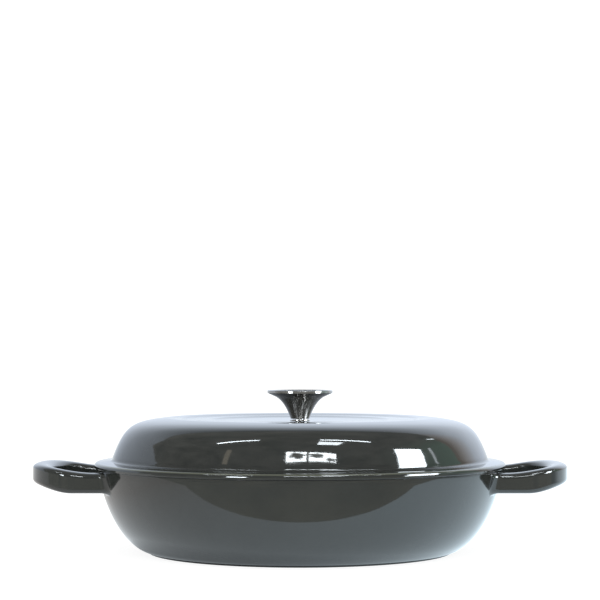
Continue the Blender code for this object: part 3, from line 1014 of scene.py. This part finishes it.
def mirrored_white(tree, here):
    """How the white surfaces look when the enamel mirrors them."""
    place = split(tree, here)
    away = from_axis(tree, here)
    steep = number(tree, "DIVIDE", place["Z"], away)
    table_colour, table_strength = mirrored_table(tree, place["X"], place["Y"], away)
    wall_colour, wall_strength = mirrored_wall(tree, place["X"], steep)
    on_wall = spread(tree, place["Z"], 0.02, 0.3, 0, 1)
    glow = add_node(tree, "ShaderNodeEmission")
    tree.links.new(blended(tree, on_wall, table_colour, wall_colour), glow.inputs["Color"])
    strength = add_node(tree, "ShaderNodeMix", {"data_type": "FLOAT"})
    tree.links.new(on_wall, strength.inputs["Factor"])
    tree.links.new(table_strength, strength.inputs[FLOAT_A])
    tree.links.new(wall_strength, strength.inputs[FLOAT_B])
    tree.links.new(strength.outputs[FLOAT_RESULT], glow.inputs["Strength"])
    return glow.outputs["Emission"]


def pale_surface(name, albedo, camera_glow):
    """White paint that the camera sees at full white, and that keeps the pan's shadow."""
    material, tree, shader = finish_nodes(name)
    here = object_place(tree)
    fibre = noise(tree, here, scale=3, detail=4, rough=0.6)
    paint = blended(tree, fibre, (albedo,) * 3, (albedo * FIBRE_TONE,) * 3)
    tree.links.new(paint, shader.inputs["Base Color"])
    shader.inputs["Roughness"].default_value = PAINT_ROUGHNESS
    shader.inputs["Specular IOR Level"].default_value = PAINT_SHINE
    dull = add_node(tree, "ShaderNodeBsdfDiffuse", Color=(SEEN_GREY, SEEN_GREY, SEEN_GREY, 1))
    glow = add_node(tree, "ShaderNodeEmission", Color=(1, 1, 1, 1), Strength=camera_glow)
    both = (dull.outputs["BSDF"], glow.outputs["Emission"])
    seen = linked(tree, add_node(tree, "ShaderNodeAddShader"), both)
    rays = add_node(tree, "ShaderNodeLightPath").outputs
    surface = shader.outputs["BSDF"]
    pictures = (
        (rays["Is Glossy Ray"], mirrored_white(tree, here)),
        (rays["Is Camera Ray"], seen.outputs["Shader"]),
    )
    for ray, picture in pictures:
        choice = linked(tree, add_node(tree, "ShaderNodeMixShader"), (ray, surface, picture))
        surface = choice.outputs["Shader"]
    tree.links.new(surface, tree.nodes["Material Output"].inputs["Surface"])
    material.cycles.emission_sampling = "NONE"
    return material


studio_white = pale_surface("studio_white", 0.85, 0.90)
print("white finish:", studio_white.name)

# %% [markdown]
# The table is a white sheet that curves up into the backdrop: a plane with its far edge pulled up and the
# fold bevelled round. A second card carries the white on towards the camera. The enamel doesn't mirror that
# one, because the real table ends close in front of the pan.

# %% Table, backdrop and wing
def card(name, low_left, low_right, high_left, high_right, material):
    """A flat four-cornered surface. Its corners are given in the order in which a new plane has them."""
    deselect()
    bpy.ops.mesh.primitive_plane_add(size=1)
    plane = bpy.context.object
    plane.name = name
    for vertex, corner in zip(plane.data.vertices, (low_left, low_right, high_left, high_right)):
        vertex.co = corner
    plane.data.materials.append(material)
    return plane


def level_card(name, left, right, front, back):
    corners = ((left, front, 0), (right, front, 0), (left, back, 0), (right, back, 0))
    return card(name, *corners, studio_white)


sweep = level_card("sweep", -SWEEP_SIDE, SWEEP_SIDE, TABLE_EDGE, SWEEP_BACK)
bpy.ops.object.mode_set(mode="EDIT")
bpy.ops.mesh.select_all(action="DESELECT")
bpy.ops.mesh.select_mode(type="EDGE")
bpy.ops.object.mode_set(mode="OBJECT")
for edge in sweep.data.edges:
    edge.select = all(sweep.data.vertices[index].co.y > 0 for index in edge.vertices)
bpy.ops.object.mode_set(mode="EDIT")
bpy.ops.mesh.extrude_region_move(TRANSFORM_OT_translate={"value": (0, 0, SWEEP_HEIGHT)})
bpy.ops.object.mode_set(mode="OBJECT")
corner = sweep.modifiers.new("curve", "BEVEL")
corner.width = SWEEP_CURVE
corner.segments = SWEEP_CURVE_STEPS
corner.limit_method = "ANGLE"
bpy.ops.object.modifier_apply(modifier=corner.name)
smooth(sweep)
floor_front = level_card("floor_front", -ROOM_HALF, ROOM_HALF, FLOOR_FRONT, TABLE_EDGE)
floor_front.visible_glossy = False
wing_near, wing_far = Vector((-0.90, 2.95, 0)), Vector((-5.20, 0.79, 0))
wing_rise = Vector((0, 0, WING_HEIGHT))
card("wing", wing_near, wing_far, wing_near + wing_rise, wing_far + wing_rise, studio_white)
print("sweep faces:", len(sweep.data.polygons))

# %% [markdown]
# The dim part of the room only has to be mirrored, so it is one large box that glossy surfaces alone see.
# Noise stands in for what is in it, because on so curved a mirror only its light and dark can be told.

# %% Dim room
deselect()
bpy.ops.mesh.primitive_cube_add(size=2, location=(0, 0, 0))
room = bpy.context.object
room.name = "room"
for vertex in room.data.vertices:
    vertex.co.x *= ROOM_HALF
    vertex.co.y *= ROOM_HALF
    vertex.co.z = ROOM_HIGH if vertex.co.z > 0 else ROOM_LOW


def glowing(name):
    """A material that only gives off light, with its node tree and the node that glows."""
    material = bpy.data.materials.new(name)
    material.use_nodes = True
    tree = material.node_tree
    tree.nodes.remove(tree.nodes["Principled BSDF"])
    glow = add_node(tree, "ShaderNodeEmission", Strength=1.0)
    tree.links.new(glow.outputs["Emission"], tree.nodes["Material Output"].inputs["Surface"])
    return material, tree, glow


def room_paint():
    """Dim clutter, lighter near the floor and greener on the right."""
    material, tree, glow = glowing("room_walls")
    here = object_place(tree)
    place = split(tree, here)
    clutter = spread(tree, noise(tree, here, scale=0.55, rough=0.6), 0.35, 0.65, 0, 1)
    tone = blended(tree, clutter, (0.20, 0.20, 0.20), (0.44, 0.43, 0.41))
    right = spread(tree, place["X"], 5, 9, 0, 1)
    beside = number(tree, "MULTIPLY", right, spread(tree, place["Y"], -6, 2, 0, 1))
    tone = blended(tree, beside, tone, (0.42, 0.62, 0.52))
    low = spread(tree, place["Z"], -0.5, 0.0, 1, 0)
    low_tone = blended(tree, clutter, (0.46, 0.48, 0.46), (0.70, 0.70, 0.62))
    tree.links.new(blended(tree, low, tone, low_tone), glow.inputs["Color"])
    material.cycles.emission_sampling = "NONE"
    return material


room.data.materials.append(room_paint())
room.visible_camera = False
room.visible_diffuse = False
room.visible_shadow = False
room_places = [vertex.co for vertex in room.data.vertices]
room_width = max(place.x for place in room_places) - min(place.x for place in room_places)
room_height = max(place.z for place in room_places) - min(place.z for place in room_places)
print(f"room: {room_width:.1f} m wide, {room_height:.2f} m high")

# %% [markdown]
# Each lamp is a glowing card. Its corners are given as directions from the pan: an angle round it, counted
# from the camera's side towards the right, and a height above the horizon. Only the two tubes are given by
# their ends, because they hang level. The cards are there to be mirrored and don't light matt surfaces. The
# window is the one that can be made out in the lid, so it gets a frame bar and some leaves before it.

# %% Lamps
LAMP_DISTANCE = 2.4
TUBE_HEIGHT = 2.2
TUBE_WIDTH = 0.08
TUBE_ROW = -0.58
TUBE_RADIANCE = 32
COOL = (0.86, 0.94, 1.0)
WARM = (1.0, 0.90, 0.74)
OUTDOORS, LEAVES = (28.0, 30.0, 31.0), (0.6, 0.6, 0.55)
WINDOW_CORNERS = ((-9.2, 39.1), (23.8, 38.0), (-10.1, 47.8), (25.7, 44.2))
# Middle and reach of each dark oval on the window: three clumps of leaves, then the frame bar.
WINDOW_SPOTS = (
    ((0.23, 0.56), (0.17, 0.34)),
    ((0.61, 0.62), (0.15, 0.28)),
    ((0.91, 0.24), (0.11, 0.22)),
    ((0.43, 0.50), (0.03, 0.9)),
)


def seen_at(azimuth, elevation):
    turn, tilt = math.radians(azimuth), math.radians(elevation)
    level = math.cos(tilt)
    return Vector((math.sin(turn) * level, -math.cos(turn) * level, math.sin(tilt))) * LAMP_DISTANCE


def lamp(name, corners, material):
    """A glowing card that only glossy surfaces see; its corners run as those of a card."""
    light = card(name, *corners, material)
    light.visible_camera = False
    light.visible_diffuse = False
    light.visible_shadow = False


def lamp_glow(name, colour, radiance):
    material, tree, glow = glowing(name)
    blotch = noise(tree, object_place(tree), scale=4, detail=2)
    uneven = spread(tree, blotch, *NOISE_RANGE, 0.9 * radiance, 1.1 * radiance)
    glow.inputs["Color"].default_value = (*colour, 1)
    tree.links.new(uneven, glow.inputs["Strength"])
    material.cycles.emission_sampling = "FRONT_BACK"
    return material


def spot(tree, place, wobble, middle, reach):
    """1 inside an uneven oval, 0 outside it."""
    offset = vector_node(tree, "SUBTRACT", place, (*middle, 0)).outputs["Vector"]
    scaled = vector_node(tree, "DIVIDE", offset, (*reach, 1)).outputs["Vector"]
    length = vector_node(tree, "LENGTH", scaled).outputs["Value"]
    return spread(tree, number(tree, "ADD", length, wobble), 0.9, 1.1, 1, 0)


def window_panes():
    material, tree, glow = glowing("window_panes")
    place = add_node(tree, "ShaderNodeTexCoord").outputs["UV"]
    wobble = spread(tree, noise(tree, place, scale=9, detail=4, rough=0.6), *NOISE_RANGE, -0.6, 0.6)
    spots = [spot(tree, place, wobble, middle, reach) for middle, reach in WINDOW_SPOTS]
    shade = spots[0]
    for another in spots[1:]:
        shade = number(tree, "MAXIMUM", shade, another)
    tree.links.new(blended(tree, shade, OUTDOORS, LEAVES), glow.inputs["Color"])
    material.cycles.emission_sampling = "FRONT_BACK"
    return material


def tube(name, left_end, right_end):
    """A ceiling tube along X."""
    front, back = TUBE_ROW - TUBE_WIDTH / 2, TUBE_ROW + TUBE_WIDTH / 2
    corners = [(x, side, TUBE_HEIGHT) for side in (front, back) for x in (left_end, right_end)]
    lamp(name, corners, lamp_glow(name, COOL, TUBE_RADIANCE))


tube("tube_left", -1.66, -0.65)
tube("tube_right", 0.31, 1.31)
lamp("window", [seen_at(*way) for way in WINDOW_CORNERS], window_panes())
for name, ways, colour, radiance in (
    ("ceiling_panel", ((15.5, 60.0), (33.5, 57.2), (21.5, 67.8), (43.0, 62.0)), COOL, 18),
    ("soft_box", ((56.0, 3.0), (76.0, 3.0), (69.5, 41.4), (88.2, 34.6)), COOL, 26),
    ("light_strip", ((91.4, 20.0), (92.8, 20.0), (94.6, 33.0), (97.0, 33.0)), COOL, 4),
    ("far_tube", ((110.0, 40.6), (114.8, 38.2), (110.0, 42.0), (114.8, 39.6)), COOL, 12),
    ("warm_card", ((-51.0, 34.0), (-47.5, 34.0), (-53.5, 45.0), (-50.0, 45.0)), WARM, 1.4),
    ("left_lamp", ((-39.0, 4.0), (-28.0, 4.0), (-39.0, 15.0), (-28.0, 15.0)), COOL, 45),
):
    lamp(name, [seen_at(*way) for way in ways], lamp_glow(name, colour, radiance))

# %% [markdown]
# A studio's light is soft because it comes from large surfaces all round. A plain white world does that for
# the matt surfaces, at less than full strength. Camera rays find it at full white, so that whatever they
# reach past the white surfaces is white too.

# %% World
MATT_STRENGTH = 0.75

world = bpy.data.worlds.new("studio")
bpy.context.scene.world = world
world.use_nodes = True
sky = world.node_tree
backdrop = sky.nodes["Background"]
backdrop.inputs["Color"].default_value = (1, 1, 1, 1)
rays = add_node(sky, "ShaderNodeLightPath").outputs
seen_or_mirrored = number(sky, "MAXIMUM", rays["Is Camera Ray"], rays["Is Glossy Ray"])
clear = number(sky, "MAXIMUM", seen_or_mirrored, rays["Is Transmission Ray"])
sky.links.new(spread(sky, clear, 0, 1, MATT_STRENGTH, 1), backdrop.inputs["Strength"])
bpy.context.scene.view_settings.view_transform = "Standard"
print("world strength for matt surfaces:", MATT_STRENGTH)

# %% [markdown]
# ## The camera
# The photographer stood about a metre and a half away, just above the rim, with a long lens tilted up a
# little. These numbers come from matching the outlines of the foot, rim, flange and knob.

# %% Camera
CAMERA_DISTANCE = 1.526
CAMERA_HEIGHT = 0.15843
CAMERA_TILT = 0.0214
LENS = 119.9
SENSOR_WIDTH = 36

deselect()
bpy.ops.object.camera_add(location=(0, -CAMERA_DISTANCE, CAMERA_HEIGHT))
camera = bpy.context.object
camera.rotation_euler = (math.pi / 2 + CAMERA_TILT, 0, 0)
camera.data.lens = LENS
camera.data.sensor_width = SENSOR_WIDTH
bpy.context.scene.camera = camera
print("camera:", [round(value, 3) for value in camera.location])
